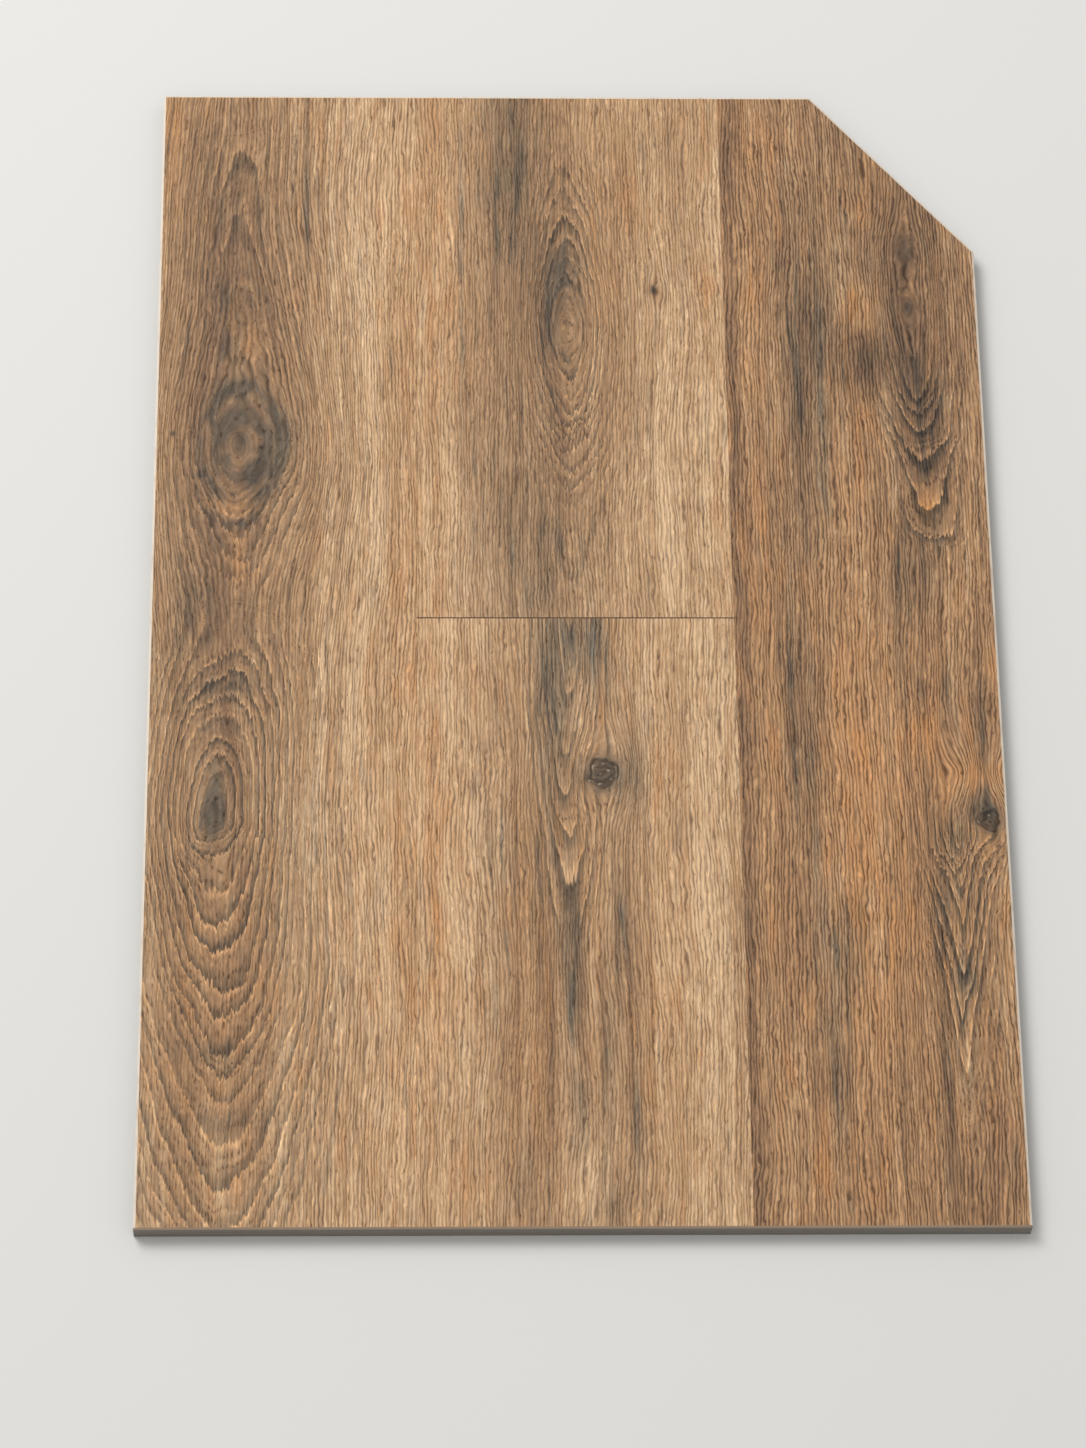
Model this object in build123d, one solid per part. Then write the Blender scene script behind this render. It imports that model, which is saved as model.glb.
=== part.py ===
from build123d import *
import os

# Driving dimensions in millimetres. +X runs across the plank, +Y along its grain, and the wear
# face looks up at +Z. The origin is the middle of the underside.
width = 229.0
length = 343.0
thickness = 5.0

# The corner at +X and +Y is cut off straight: its reach along the back end and along the side.
clip_across = 44.5
clip_along = 51.5

# A fine painted bevel runs round the wear face: its reach across the face and down the edge.
bevel_width = 0.6
bevel_depth = 0.25

# Pressed seams part the wear face into three strips. What the first two leave is the right strip.
left_strip_width = 72.0
centre_strip_width = 86.0

# One short seam crosses the centre strip, this far from the front end.
front_board_length = 175.0

# Section of a pressed seam: a V, wide at the wear face and sharp at its root.
seam_width = 0.35
seam_depth = 0.15

# Places worked out from those sizes
right_edge = width / 2
back_edge = length / 2
left_seam = -right_edge + left_strip_width
right_seam = left_seam + centre_strip_width
butt_seam = -back_edge + front_board_length


def plank_outline():
    """Plan of the plank: a rectangle that has lost one corner."""
    return make_face(
        Polyline(
            (-right_edge, -back_edge),
            (right_edge, -back_edge),
            (right_edge, back_edge - clip_along),
            (right_edge - clip_across, back_edge),
            (-right_edge, back_edge),
            close=True,
        )
    )


def bevelled_slab():
    """Slab of the full thickness with square edges, eased only round the wear face."""
    slab = extrude(plank_outline(), amount=thickness)
    wear_face = slab.faces().sort_by(Axis.Z).last
    return chamfer(wear_face.edges(), length=bevel_width, length2=bevel_depth, reference=wear_face)


def seam_cutter(start, end):
    """V-shaped bar that presses one seam into the wear face.

    The bar rises above the face by the depth of the seam, so the V is twice the seam's width at
    its top and exactly the seam's width where it meets the face.
    """
    start = Vector(*start, thickness)
    run = Vector(*end, thickness) - start
    section = Plane(start, x_dir=Vector(0, 0, 1).cross(run), z_dir=run)
    vee = make_face(
        Polyline((0, -seam_depth), (seam_width, seam_depth), (-seam_width, seam_depth), close=True)
    )
    return extrude(section * vee, amount=run.length)


def seam_cutters():
    """The two long seams, which run out at both ends, and the short one between their roots."""
    long_seams = [seam_cutter((x, -back_edge), (x, back_edge)) for x in (left_seam, right_seam)]
    short_seam = seam_cutter((left_seam, butt_seam), (right_seam, butt_seam))
    return [*long_seams, short_seam]


vinyl_plank = bevelled_slab()
for cutter in seam_cutters():
    vinyl_plank -= cutter
vinyl_plank.label = "vinyl_plank"

os.makedirs("parts", exist_ok=True)
export_step(vinyl_plank, "parts/vinyl_plank.step")
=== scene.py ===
"""Vinyl floor plank: a short cut of square-edged plank with a printed and pressed oak face.

Lengths are millimetres in the plank's own frame: +X across, +Y along the grain, +Z up out of the
wear face. They become metres where a mesh, a lamp or the camera is made.
"""

import logging
import math
from dataclasses import dataclass
from enum import Enum
from typing import Any, Union

import bmesh
import bpy
import numpy as np
from mathutils import Matrix, Vector


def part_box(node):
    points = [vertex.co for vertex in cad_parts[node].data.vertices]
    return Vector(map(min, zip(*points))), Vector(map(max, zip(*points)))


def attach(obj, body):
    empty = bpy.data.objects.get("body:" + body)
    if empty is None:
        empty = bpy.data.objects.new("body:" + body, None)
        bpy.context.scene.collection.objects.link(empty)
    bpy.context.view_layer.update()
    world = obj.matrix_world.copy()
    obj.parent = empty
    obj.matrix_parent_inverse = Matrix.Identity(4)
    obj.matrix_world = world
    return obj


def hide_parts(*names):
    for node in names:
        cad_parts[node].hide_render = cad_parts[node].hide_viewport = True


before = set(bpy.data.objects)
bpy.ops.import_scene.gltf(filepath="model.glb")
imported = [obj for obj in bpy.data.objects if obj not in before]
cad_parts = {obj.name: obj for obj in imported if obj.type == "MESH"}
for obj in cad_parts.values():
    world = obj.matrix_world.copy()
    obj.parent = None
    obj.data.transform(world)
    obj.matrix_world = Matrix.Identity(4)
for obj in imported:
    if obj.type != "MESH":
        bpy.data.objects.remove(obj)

log = logging.getLogger("vinyl_plank")

NODE = "vinyl_plank"
BODY = "root"
MM = 0.001

Colour = tuple[float, float, float, float]
Operand = Union["Field", float]


def ink(red: int, green: int, blue: int) -> Colour:
    """Linear colour of an ink that is named by its red, green and blue on screen, 0 to 255.

    Args:
        red: Red part.
        green: Green part.
        blue: Blue part.

    Returns:
        The colour as shader sockets take it.
    """
    parts = [part / 255 for part in (red, green, blue)]
    linear = [p / 12.92 if p <= 0.04045 else ((p + 0.055) / 1.055) ** 2.4 for p in parts]
    return (linear[0], linear[1], linear[2], 1.0)


class Ink(Enum):
    """The inks of the printed oak, and the paint and fillers of the plank's other faces."""

    UMBER = ink(74, 61, 50)
    EARTH = ink(116, 90, 68)
    BROWN = ink(144, 110, 81)
    OAK = ink(171, 133, 97)
    SAND = ink(192, 155, 117)
    CREAM = ink(214, 179, 140)
    AMBER = ink(190, 137, 89)
    BEVEL = ink(222, 208, 190)
    CORE_DARK = ink(102, 97, 89)
    CORE = ink(122, 116, 107)
    CORE_PALE = ink(142, 135, 125)
    BACKING = ink(66, 65, 64)
    BACKING_WORN = ink(96, 94, 91)
    FLOOR = ink(226, 224, 220)


class Field:
    """A number that varies over a surface: one output socket, written in sums like a number."""

    def __init__(self, sheet: "NodeSheet", socket: bpy.types.NodeSocket) -> None:
        """Wraps a socket of the given sheet of nodes."""
        self.sheet = sheet
        self.socket = socket

    def __add__(self, other: Operand) -> "Field":
        """Sum."""
        return self.sheet.calc("ADD", self, other)

    def __radd__(self, other: Operand) -> "Field":
        """Sum with the number first."""
        return self.sheet.calc("ADD", other, self)

    def __sub__(self, other: Operand) -> "Field":
        """Difference."""
        return self.sheet.calc("SUBTRACT", self, other)

    def __rsub__(self, other: Operand) -> "Field":
        """Difference with the number first."""
        return self.sheet.calc("SUBTRACT", other, self)

    def __mul__(self, other: Operand) -> "Field":
        """Product."""
        return self.sheet.calc("MULTIPLY", self, other)

    def __rmul__(self, other: Operand) -> "Field":
        """Product with the number first."""
        return self.sheet.calc("MULTIPLY", other, self)

    def __truediv__(self, other: Operand) -> "Field":
        """Quotient."""
        return self.sheet.calc("DIVIDE", self, other)

    def __rtruediv__(self, other: Operand) -> "Field":
        """Quotient with the number first."""
        return self.sheet.calc("DIVIDE", other, self)

    def __pow__(self, power: Operand) -> "Field":
        """This field raised to a power."""
        return self.sheet.calc("POWER", self, power)

    def __rpow__(self, base: float) -> "Field":
        """A number raised to this field."""
        return self.sheet.calc("POWER", base, self)

    def __abs__(self) -> "Field":
        """Size without its sign."""
        return self.sheet.calc("ABSOLUTE", self)

    def root(self) -> "Field":
        """Square root."""
        return self.sheet.calc("SQRT", self)

    def whole(self) -> "Field":
        """Whole part, rounded down."""
        return self.sheet.calc("FLOOR", self)

    def cosine(self) -> "Field":
        """Cosine of this angle in radians."""
        return self.sheet.calc("COSINE", self)

    def fade(self) -> "Field":
        """Falls from 1 where this is zero towards 0, by a factor of e for each unit."""
        return math.exp(-1) ** self

    def at_most(self, other: Operand) -> "Field":
        """The smaller of the two."""
        return self.sheet.calc("MINIMUM", self, other)

    def ease(self, start: float, end: float) -> "Field":
        """Smooth step from 0 at start to 1 at end; start may be the larger, for a fall.

        Args:
            start: Value where the step is still 0.
            end: Value where the step is already 1.

        Returns:
            The step, from 0 to 1.
        """
        settings = {"interpolation_type": "SMOOTHSTEP"}
        if start < end:
            sockets = {"Value": self, "From Min": start, "From Max": end}
        else:
            sockets = {"Value": self, "From Min": end, "From Max": start, "To Min": 1.0, "To Max": 0.0}
        return Field(self.sheet, self.sheet.node("ShaderNodeMapRange", settings, sockets).outputs[0])


class NodeSheet:
    """A node tree, of a material or of Geometry Nodes, that is filled from expressions."""

    def __init__(self, tree: bpy.types.NodeTree) -> None:
        """Takes the tree to fill."""
        self.tree = tree

    def node(self, kind: str, settings: dict[str, Any] | None = None,
             sockets: dict[str | int, Any] | None = None) -> bpy.types.Node:
        """Adds one node.

        Args:
            kind: The node's type name.
            settings: Its properties, with the stops of a ramp or the points of a curve.
            sockets: Values or links for its inputs, by name or number.

        Returns:
            The new node.
        """
        made = self.tree.nodes.new(kind)
        for name, value in (settings or {}).items():
            if name == "stops":
                self.set_stops(made.color_ramp, value)
            elif name == "points":
                self.set_points(made.mapping, value)
            else:
                setattr(made, name, value)
        for key, value in (sockets or {}).items():
            self.plug(made.inputs[key], value)
        return made

    def plug(self, target: bpy.types.NodeSocket, value: Any) -> None:
        """Links a socket or a field to an input, or sets the input to a plain value.

        Args:
            target: The input.
            value: The socket, the field or the plain value.
        """
        source = value.socket if isinstance(value, Field) else value
        if isinstance(source, bpy.types.NodeSocket):
            self.tree.links.new(source, target)
        else:
            target.default_value = source

    @staticmethod
    def set_stops(ramp: bpy.types.ColorRamp, stops: list[tuple[float, Colour]]) -> None:
        """Replaces a ramp's stops.

        Args:
            ramp: The ramp.
            stops: Pairs of a place, 0 to 1, and the colour there.
        """
        while len(ramp.elements) > 1:
            ramp.elements.remove(ramp.elements[-1])
        ramp.elements[0].position, ramp.elements[0].color = stops[0]
        for place, colour in stops[1:]:
            ramp.elements.new(place).color = colour

    @staticmethod
    def set_points(mapping: bpy.types.CurveMapping, points: list[tuple[float, float]]) -> None:
        """Replaces a curve's points. It is smooth, but comes to zero with straight sides.

        Args:
            mapping: The curve's settings.
            points: Pairs of a place and a height, 0 to 1 each.
        """
        curve = mapping.curves[0]
        while len(curve.points) > 2:
            curve.points.remove(curve.points[1])
        for spot, place in zip(curve.points, (points[0], points[-1])):
            spot.location = place
        for place in points[1:-1]:
            curve.points.new(*place)
        for spot in curve.points:
            spot.handle_type = "VECTOR" if spot.location[1] == 0 else "AUTO_CLAMPED"
        mapping.update()

    def calc(self, operation: str, *operands: Operand) -> Field:
        """One Math node.

        Args:
            operation: Its operation.
            operands: Fields or numbers, in order.

        Returns:
            The result.
        """
        made = self.node("ShaderNodeMath", {"operation": operation}, dict(enumerate(operands)))
        return Field(self, made.outputs[0])

    def vector(self, x: Operand, y: Operand, z: Operand) -> bpy.types.NodeSocket:
        """Joins three numbers into a vector."""
        return self.node("ShaderNodeCombineXYZ", None, {0: x, 1: y, 2: z}).outputs[0]

    def noise(self, across: Operand, along: Operand, layer: Operand, detail: float = 1.0) -> Field:
        """Smooth noise about zero, about one lump to each unit.

        Args:
            across: First coordinate.
            along: Second coordinate.
            layer: Third coordinate, which keeps one noise apart from another.
            detail: How many finer noises are laid over it.

        Returns:
            The noise, mostly between -0.3 and 0.3.
        """
        sockets = {"Vector": self.vector(across, along, layer), "Scale": 1.0, "Detail": detail}
        return Field(self, self.node("ShaderNodeTexNoise", None, sockets).outputs[0]) - 0.5

    def curve(self, value: Field, points: tuple[tuple[float, float], ...]) -> Field:
        """A smooth curve through points that are given in plain units.

        Args:
            value: Where to read the curve.
            points: Pairs of a place and the curve's height there, in rising order of place.

        Returns:
            The height at the value.
        """
        start, end = points[0][0], points[-1][0]
        low = min(height for _, height in points)
        high = max(height for _, height in points)
        scaled = [((p - start) / (end - start), (h - low) / (high - low)) for p, h in points]
        place = (value - start) / (end - start)
        made = self.node("ShaderNodeFloatCurve", {"points": scaled}, {"Value": place})
        return Field(self, made.outputs[0]) * (high - low) + low

    def mix(self, amount: Operand, under: Any, over: Any, blend: str = "MIX") -> bpy.types.NodeSocket:
        """Lays one colour over another.

        Args:
            amount: How much of the upper colour shows, 0 to 1.
            under: Lower colour.
            over: Upper colour.
            blend: How the two are joined.

        Returns:
            The mixed colour.
        """
        settings = {"data_type": "RGBA", "clamp_factor": True, "blend_type": blend}
        return self.node("ShaderNodeMix", settings, {0: amount, 6: under, 7: over}).outputs[2]

    def split(self, vector: bpy.types.NodeSocket) -> tuple[Field, Field, Field]:
        """Takes a place in metres apart.

        Args:
            vector: The place.

        Returns:
            Its three parts in millimetres.
        """
        parts = self.node("ShaderNodeSeparateXYZ", None, {0: vector}).outputs
        x, y, z = (Field(self, part) / MM for part in parts)
        return x, y, z


@dataclass(frozen=True)
class Lumps:
    """Smooth chance variation: the size of its lumps, its number, its strength and its detail."""

    across: float
    along: float
    number: float = 0.0
    strength: float = 1.0
    detail: float = 1.0

    def at(self, sheet: NodeSheet, across: Field, along: Field, layer: float = 0.0) -> Field:
        """Reads the variation at a place.

        Args:
            sheet: The nodes to add to.
            across: Place across the lumps.
            along: Place along the lumps.
            layer: Start of the numbers, which keeps one board or knot apart from another.

        Returns:
            The variation, about zero.
        """
        noise = sheet.noise(across / self.across, along / self.along, layer + self.number, self.detail)
        return noise if self.strength == 1 else noise * self.strength


class Tint(Enum):
    """What a stain does to the print under it."""

    PALE = "pale"
    DARK = "dark"
    AMBER = "amber"
    SLATE = "slate"
    SMOKE = "smoke"


@dataclass(frozen=True)
class Stain:
    """A soft patch or streak of colour in the print: its middle, its reach and its strength."""

    x: float
    y: float
    across: float
    along: float
    strength: float

    def add_to(self, total: Operand, sheet: NodeSheet, place: bpy.types.NodeSocket) -> Field:
        """Adds the stain to those before it.

        Args:
            total: Strength of the stains so far.
            sheet: The nodes to add to.
            place: Where on the board, as a flat vector.

        Returns:
            The strength with this stain in it.
        """
        shrink = (1 / self.across, 1 / self.along, 0)
        shift = (-self.x / self.across, -self.y / self.along, 0)
        sockets = {0: place, 1: shrink, 2: shift}
        off = sheet.node("ShaderNodeVectorMath", {"operation": "MULTIPLY_ADD"}, sockets).outputs[0]
        product = sheet.node("ShaderNodeVectorMath", {"operation": "DOT_PRODUCT"}, {0: off, 1: off})
        square = Field(sheet, product.outputs["Value"])
        return sheet.calc("MULTIPLY_ADD", square.fade(), self.strength, total)


@dataclass(frozen=True)
class Knot:
    """A branch cut across, or a place where the heart breaks the face: fibres part round it."""

    x: float
    y: float
    across: float
    along: float
    reach: float
    pull: float = 0.8
    smoke: float = 0.0
    smoke_patch: Lumps = Lumps(6, 8, detail=2.0)
    smoke_band: float = 0.6
    smoke_pitch: float = 0.56
    spread: float = 1.7

    def radius(self, x: Field, y: Field) -> Field:
        """Distance from its middle.

        Args:
            x: Place across the plank.
            y: Place along the plank.

        Returns:
            The distance, 1 at its rim.
        """
        aside = (x - self.x) / self.across
        ahead = (y - self.y) / self.along
        return (aside * aside + ahead * ahead).root()

    def darken(self, sheet: NodeSheet, radius: Field, x: Field, y: Field) -> Field:
        """Smoky dark bands round the middle.

        Args:
            sheet: The nodes to add to.
            radius: Distance from its middle, 1 at its rim.
            x: Place across the plank.
            y: Place along the plank.

        Returns:
            How dark the smoke is.
        """
        patch = self.smoke_patch.at(sheet, x, y, self.x)
        band = ((radius + patch * 0.5 - self.smoke_band) * (math.tau / self.smoke_pitch)).cosine()
        return radius.ease(1.6, 1.1) * (band * 0.32 + patch * 2.2 + 0.6) * self.smoke

    def part(self, x: Field, y: Field) -> Field:
        """Where a fibre at x would run if the knot weren't there.

        Args:
            x: Place across the plank.
            y: Place along the plank.

        Returns:
            The place across, drawn in towards the knot's middle.
        """
        aside = x - self.x
        ahead = (y - self.y) / self.reach
        wide = aside / (self.spread * self.across)
        return x - aside * (wide * wide + ahead * ahead).fade() * self.pull


@dataclass(frozen=True)
class Grain:
    """How the wood runs at a point: along its fibres, aside from its heart and round its eyes."""

    fibre: Field
    y: Field
    place: bpy.types.NodeSocket
    side: Field
    ring: Field
    about: Field
    swirl: Operand
    smoke: Operand


@dataclass(frozen=True)
class Board:
    """One printed board: where its heart runs, how deep the heart lies, and its marks.

    Rings are lines of equal distance from the tree's heart, so a heart that rises to the face draws
    closed eyes and one that sinks draws nested arches.
    """

    name: str
    layer: float
    heart: tuple[tuple[float, float], ...]
    sink: tuple[tuple[float, float], ...]
    ring_pitch: float
    ring_reach: float
    ring_weight: tuple[tuple[float, float], ...]
    roundness: tuple[float, float]
    teeth: float
    lightness: float
    contrast: float
    stains: dict[Tint, tuple[Stain, ...]]
    eyes: tuple[Knot, ...] = ()
    knots: tuple[Knot, ...] = ()
    forks: tuple[Knot, ...] = ()
    bend: Lumps = Lumps(30, 80, 0.0, 7)
    waver: Lumps = Lumps(6, 28, 0.31, 1.6)
    slip: Lumps = Lumps(14, 40, 0.57, 12)
    tooth: Lumps = Lumps(0.7, 9, 0.83)
    warp: Lumps = Lumps(8, 12, 0.49)
    drift: Lumps = Lumps(6, 220, 0.17, 2.2)
    round_turn: float = 30.0

    def grain(self, sheet: NodeSheet, x: Field, y: Field) -> Grain:
        """Works out how the wood runs.

        Args:
            sheet: The nodes to add to.
            x: Place across the plank.
            y: Place along the plank.

        Returns:
            The run of the wood there.
        """
        bend, waver, slip, tooth, warp = (
            lumps.at(sheet, x, y, self.layer)
            for lumps in (self.bend, self.waver, self.slip, self.tooth, self.warp))
        fibre = x + bend + waver
        for knot in self.knots:
            fibre = knot.part(fibre, y)
        side = abs(fibre - sheet.curve(y + slip, self.heart))
        depth = self.from_heart(sheet, side, y + slip + tooth * self.teeth) + warp
        drift = self.drift.at(sheet, depth, y, self.layer)
        about = self.from_heart(sheet, side, y + slip) + warp
        swirl: Operand = 0.0
        smoke: Operand = 0.0
        for eye in self.eyes:
            fibre = eye.part(fibre, y)
            radius = eye.radius(x, y)
            swirl = radius.ease(1.3, 0.8) + swirl
            if eye.smoke:
                smoke = eye.darken(sheet, radius, x, y) + smoke
        for knot in self.knots:
            near = knot.radius(x, y)
            share = near.ease(1.6, 1.0)
            about = about + (near * knot.across - about) * share
            swirl = share + swirl
        for fork in self.forks:
            fibre = fork.part(fibre, y)
        ring = depth / self.ring_pitch + drift
        place = sheet.vector(x + waver, y + slip * 0.3, 0.0)
        return Grain(fibre, y + slip, place, side, ring, about, swirl, smoke)

    def from_heart(self, sheet: NodeSheet, side: Field, y: Field) -> Field:
        """Distance from the heart, by the distance aside from it and the depth that it lies at.

        Args:
            sheet: The nodes to add to.
            side: Distance aside from the heart.
            y: Place along the plank.

        Returns:
            The distance. The front's roundness turns into the back's about the plank's middle.
        """
        sunk = sheet.curve(y, self.sink)
        front, back = self.roundness
        power = y.ease(-self.round_turn, self.round_turn) * (back - front) + front
        return (side ** power + sunk ** power) ** (1 / power)

    def tinted(self, sheet: NodeSheet, wood: Grain, tint: Tint) -> Operand:
        """Adds up the board's stains of one tint.

        Args:
            sheet: The nodes to add to.
            wood: How the wood runs.
            tint: The tint.

        Returns:
            Their total strength.
        """
        total: Operand = 0.0
        for stain in self.stains.get(tint, ()):
            total = stain.add_to(total, sheet, wood.place)
        return total


class Side(Enum):
    """The faces of the plank that have a finish of their own, in the order of their slots."""

    LEFT = 0
    CENTRE_BACK = 1
    CENTRE_FRONT = 2
    RIGHT = 3
    SEAM = 4
    BEVEL = 5
    CORE = 6
    BACKING = 7


LEFT_BOARD = Board(
    name="left_board",
    layer=3.0,
    heart=((-172, -92), (-110, -93.5), (-55, -96), (0, -93), (24, -91.5), (58, -91), (118, -91),
           (172, -90)),
    sink=((-172, 29), (-120, 18.5), (-93, 12.5), (-70, 8), (-55, 0), (-29, 8), (-15, 12.5), (8, 16),
          (21, 13.5), (36, 10), (57, 0), (66, 4), (72, 5.6), (84, 7), (90, 7.7), (100, 8.6), (128, 11.8),
          (154, 13.3), (172, 14.2)),
    ring_pitch=1.9,
    ring_reach=32,
    ring_weight=((-172, 0.7), (-120, 0.9), (-60, 1), (-15, 0.9), (0, 0.6), (20, 0.5), (36, 0.8),
                 (57, 0.6), (76, 0.5), (90, 0.5), (110, 0.55), (150, 0.6), (164, 0.3), (172, 0.15)),
    roundness=(2.0, 2.0),
    teeth=6,
    lightness=0.84,
    contrast=0.95,
    stains={
        Tint.DARK: (
            Stain(-95, 60, 21, 130, 0.38), Stain(-93, 122, 18, 40, 0.1), Stain(-95, -110, 17, 60, 0.24),
            Stain(-91, 57, 13, 22, 0.14),
        ),
        Tint.PALE: (
            Stain(-92.3, 38, 5, 2.6, 0.15), Stain(-55, 0, 10, 230, 0.12), Stain(-54, -100, 11, 70, 0.07),
        ),
        Tint.AMBER: (
            Stain(-95, 40, 22, 120, -0.3), Stain(-95, -110, 18, 50, 0.3), Stain(-91, 62, 12, 16, -0.5),
            Stain(-92.5, 53, 4, 7, 0.6), Stain(-92.3, 38, 6, 2.8, 1.2), Stain(-91.5, 24, 5, 10, 0.7),
            Stain(-92.8, 99, 2.5, 8, 1.1), Stain(-88, 89, 2.5, 8, 1.1), Stain(-112, 158, 5, 22, 0.6),
            Stain(-46, 0, 5, 210, 0.4), Stain(-54, -95, 12, 80, 0.25),
        ),
        Tint.SLATE: (
            Stain(-95, 20, 21, 130, 0.13), Stain(-93, 115, 17, 40, 0.2), Stain(-93, 76, 6, 3, 0.6),
            Stain(-94, 65, 5, 4, 0.6), Stain(-78, 61, 5, 8, 0.4), Stain(-84.5, 50, 4, 7, 0.6),
            Stain(-92.3, 38, 5, 3, -0.7), Stain(-92.3, 32.6, 4, 1.6, 0.8), Stain(-98, 35, 2.6, 2.2, 0.6),
            Stain(-86.6, 35, 2.6, 2.2, 0.6), Stain(-96.3, 107, 4, 5, 0.35),
            Stain(-95.6, 89.5, 4, 6, 0.45), Stain(-90.4, 150, 2.2, 5, 0.12),
            Stain(-94, 132, 1.3, 8, 0.25), Stain(-86.6, 132, 1.3, 8, 0.25),
            Stain(-109.2, 60.7, 0.6, 0.8, 1.6), Stain(-101.7, 47.8, 0.9, 1.1, 1.2),
            Stain(-73.5, 140, 0.7, 32, 0.7), Stain(-104.5, 9, 5, 14, 0.45), Stain(-93, -17, 9, 3, 0.6),
            Stain(-94.5, -28.5, 6, 2.5, 0.5), Stain(-96.2, -55, 3.2, 8.5, 1.4),
            Stain(-96.2, -43, 2.5, 4, 0.5), Stain(-94.5, -123, 12, 3, 0.4), Stain(-91, -142, 10, 3, 0.45),
        ),
    },
    eyes=(Knot(-90.5, 57, 10, 16, 34, smoke=0.74), Knot(-96.2, -54, 5, 13, 30)),
    forks=(Knot(-91, 75, 15, 1, 70, pull=0.3),),
)

CENTRE_BACK_BOARD = Board(
    name="centre_back_board",
    layer=11.0,
    heart=((3, 0.5), (60, 0.5), (97, -0.5), (172, -1.5)),
    sink=((3, 19), (34, 16), (49, 13), (58, 10.5), (66, 8), (71.5, 6.6), (85, 3.3), (96, 0), (106, 3.3),
          (116, 6), (128, 8.5), (140, 10.5), (152, 12.5), (172, 15)),
    ring_pitch=1.3,
    ring_reach=14,
    ring_weight=((3, 0.2), (30, 0.3), (45, 0.6), (75, 0.85), (97, 0.8), (125, 0.85), (140, 0.6),
                 (160, 0.2), (172, 0.2)),
    roundness=(1.7, 1.7),
    teeth=6,
    lightness=0.84,
    contrast=0.88,
    stains={
        Tint.DARK: (
            Stain(-7, 108, 22, 95, 0.32), Stain(23.8, 106.5, 1.2, 1.8, 0.6),
            Stain(16.5, 146, 3, 18, 0.25),
        ),
        Tint.PALE: (
            Stain(30, 50, 11, 60, 0.12), Stain(-36, 80, 8, 100, 0.08),
        ),
        Tint.AMBER: (
            Stain(-8, 45, 20, 60, -0.8), Stain(-0.5, 96, 3, 6, 0.4), Stain(1, 68, 5, 7, 0.5),
            Stain(8, 105, 6, 24, 0.45), Stain(-36, 90, 6, 130, 0.5), Stain(28, 60, 11, 60, -0.45),
            Stain(16.5, 146, 3, 18, 0.4), Stain(40, 60, 2.5, 90, 0.35),
        ),
        Tint.SLATE: (
            Stain(-16, 150, 8, 36, 0.8), Stain(-30, 130, 0.8, 60, 0.4), Stain(-1, 115, 5, 10, 0.95),
            Stain(23.8, 106.5, 1.0, 1.5, 1.2), Stain(-6, 99, 3, 15, 0.6), Stain(-15, 46, 14, 44, 0.3),
            Stain(-8, 22, 14, 22, 0.3),
        ),
    },
    eyes=(Knot(-0.5, 97, 4.5, 11, 26, smoke=0.35),),
    forks=(Knot(23.8, 106.5, 1.5, 1, 6),),
)

CENTRE_FRONT_BOARD = Board(
    name="centre_front_board",
    layer=17.0,
    heart=((-172, 0), (-100, -2), (-78, -2.5), (-50, -2), (-24, -3), (4, -1)),
    sink=((-172, 15), (-120, 11.8), (-78, 9.35), (-20, 3.2), (4, 1)),
    ring_pitch=-1.5,
    ring_reach=11,
    ring_weight=((-172, 0.15), (-100, 0.2), (-84, 0.4), (-78, 1), (-50, 0.9), (-24, 1.15), (4, 1.3)),
    roundness=(2.0, 2.0),
    teeth=6,
    lightness=0.89,
    contrast=0.9,
    stains={
        Tint.DARK: (
            Stain(-3, -85, 20, 110, 0.27), Stain(-8, -120, 1.2, 40, 0.3), Stain(5.8, -108, 0.8, 28, 0.3),
            Stain(13, -116, 0.6, 42, 0.4), Stain(10.2, -108, 0.5, 32, 0.3),
            Stain(15.2, -116, 0.5, 42, 0.28), Stain(18.6, -112, 0.5, 45, 0.26),
            Stain(-16.3, -98, 0.9, 70, 0.3),
        ),
        Tint.PALE: (
            Stain(1.5, -24, 1, 12, 0.25), Stain(-2, -72, 3, 6, 0.14), Stain(3.4, -106, 1.4, 28, 0.3),
            Stain(8.2, -110, 0.8, 32, 0.16), Stain(35, -80, 9, 120, 0.06), Stain(-33, -80, 9, 120, 0.1),
            Stain(0.5, -157, 5, 12, 0.2),
        ),
        Tint.AMBER: (
            Stain(-1, -115, 9, 50, -0.4), Stain(3.4, -112, 1.8, 24, 0.3),
            Stain(-11.5, -115, 2.5, 45, 0.4), Stain(-38, -80, 4, 100, 0.5), Stain(4, -70, 4, 60, 0.3),
            Stain(-20, -100, 30, 80, 0.22), Stain(22, -90, 7, 80, 0.3),
        ),
        Tint.SLATE: (
            Stain(-5, -8, 6, 17, 0.85), Stain(5.5, -7, 4, 14, 0.85), Stain(2, -16, 1.6, 12, -0.25),
            Stain(-0.5, -3, 5, 10, 0.15), Stain(-6.5, -32, 4.5, 17, 0.6), Stain(9, -46, 7, 6, 0.5),
            Stain(-6, -60, 2, 14, 0.5), Stain(-2, -72, 2, 6, -0.2), Stain(-2, -88, 3, 9, 0.4),
            Stain(-1.6, -98, 2.6, 22, 0.85), Stain(0.2, -138, 3, 12, 0.5), Stain(12, -93, 3, 20, 0.4),
            Stain(14.6, -142, 2, 18, 0.5), Stain(6.7, -125, 1.6, 25, 0.45),
            Stain(-10.4, -85, 1.3, 30, 0.45), Stain(15.5, -41, 3, 22, 0.35),
            Stain(10.5, -98, 4, 42, 0.15), Stain(-22, -85, 6, 70, 0.2), Stain(-14.5, -161, 4, 14, 0.45),
            Stain(8, -166, 3, 8, 0.5),
        ),
    },
    knots=(Knot(7.0, -42.8, 4.5, 4.1, 13, pull=1.0),),
)

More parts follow.
